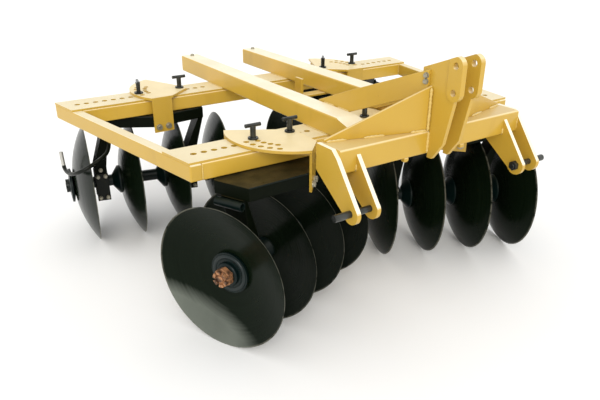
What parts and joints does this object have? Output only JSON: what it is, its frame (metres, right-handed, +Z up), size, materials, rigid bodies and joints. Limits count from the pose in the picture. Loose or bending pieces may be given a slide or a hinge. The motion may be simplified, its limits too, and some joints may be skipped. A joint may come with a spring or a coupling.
{
  "type": "disc harrow",
  "caption": "Three-point tandem disc harrow with a splayed frame, a hitch mast and disc gangs that swing to set their cutting angle and roll.",
  "frame": {"origin": "on the floor, under the middle of the machine's outer box", "axes": "+X to the machine's left side, +Y to its rear, +Z up; the hitch faces -Y"},
  "size_m": [2.227, 1.977, 1.1439],
  "materials": {
    "frame_paint": "gloss mustard yellow enamel",
    "gang_paint": "gloss black enamel",
    "disc_steel": "black painted steel with thin rims",
    "axle_steel": "rusted bare steel",
    "steel_pins": "zinc plated"
  },
  "bodies": {
    "frame": {"rear_toolbar": "frame_paint", "rear_hole_plate": "frame_paint", "front_toolbar": "frame_paint", "front_hole_plate": "frame_paint", "side_bars": "frame_paint", "frame_rails": "frame_paint", "centre_bracket": "frame_paint", "hitch_bar": "frame_paint", "outer_lugs": "frame_paint", "inner_lugs": "frame_paint", "lower_link_pins": "steel_pins", "mast_plates": "frame_paint", "mast_braces": "frame_paint", "hitch_gussets": "frame_paint", "centre_plate": "frame_paint", "centre_pin": "steel_pins"},
    "gang_front_right": {"saddle_front_right": "frame_paint", "gang_box_front_right": "gang_paint", "gang_legs_front_right": "gang_paint", "saddle_pins_front_right": "steel_pins"},
    "spindle_front_right": {"axle_front_right": "axle_steel", "spools_front_right": "gang_paint", "discs_front_right": "disc_steel"},
    "gang_front_left": {"saddle_front_left": "frame_paint", "gang_box_front_left": "gang_paint", "gang_legs_front_left": "gang_paint", "saddle_pins_front_left": "steel_pins"},
    "spindle_front_left": {"axle_front_left": "axle_steel", "spools_front_left": "gang_paint", "discs_front_left": "disc_steel"},
    "gang_rear_right": {"saddle_rear_right": "frame_paint", "gang_box_rear_right": "gang_paint", "gang_legs_rear_right": "gang_paint", "saddle_pins_rear_right": "steel_pins"},
    "spindle_rear_right": {"axle_rear_right": "axle_steel", "spools_rear_right": "gang_paint", "discs_rear_right": "disc_steel"},
    "gang_rear_left": {"saddle_rear_left": "frame_paint", "gang_box_rear_left": "gang_paint", "gang_legs_rear_left": "gang_paint", "saddle_pins_rear_left": "steel_pins"},
    "spindle_rear_left": {"axle_rear_left": "axle_steel", "spools_rear_left": "gang_paint", "discs_rear_left": "disc_steel"}
  },
  "joints": [
    {"name": "swing_front_right", "type": "hinge", "parent": "frame", "child": "gang_front_right", "pos_m": [-0.389, -0.375, 0.759], "axis": [0, 0, 1], "range_deg": [-10, 2]},
    {"name": "roll_front_right", "type": "hinge", "parent": "gang_front_right", "child": "spindle_front_right", "pos_m": [-0.389, -0.375, 0.305], "axis": [0.91, 0.4147, 0], "continuous": true},
    {"name": "swing_front_left", "type": "hinge", "parent": "frame", "child": "gang_front_left", "pos_m": [0.389, -0.375, 0.759], "axis": [0, 0, 1], "range_deg": [-2, 10]},
    {"name": "roll_front_left", "type": "hinge", "parent": "gang_front_left", "child": "spindle_front_left", "pos_m": [0.389, -0.375, 0.305], "axis": [-0.91, 0.4147, 0], "continuous": true},
    {"name": "swing_rear_right", "type": "hinge", "parent": "frame", "child": "gang_rear_right", "pos_m": [-0.467, 0.569, 0.759], "axis": [0, 0, 1], "range_deg": [-4, 8]},
    {"name": "roll_rear_right", "type": "hinge", "parent": "gang_rear_right", "child": "spindle_rear_right", "pos_m": [-0.467, 0.569, 0.305], "axis": [0.9781, -0.2079, 0], "continuous": true},
    {"name": "swing_rear_left", "type": "hinge", "parent": "frame", "child": "gang_rear_left", "pos_m": [0.467, 0.569, 0.759], "axis": [0, 0, 1], "range_deg": [-8, 4]},
    {"name": "roll_rear_left", "type": "hinge", "parent": "gang_rear_left", "child": "spindle_rear_left", "pos_m": [0.467, 0.569, 0.305], "axis": [-0.9781, -0.2079, 0], "continuous": true}
  ]
}
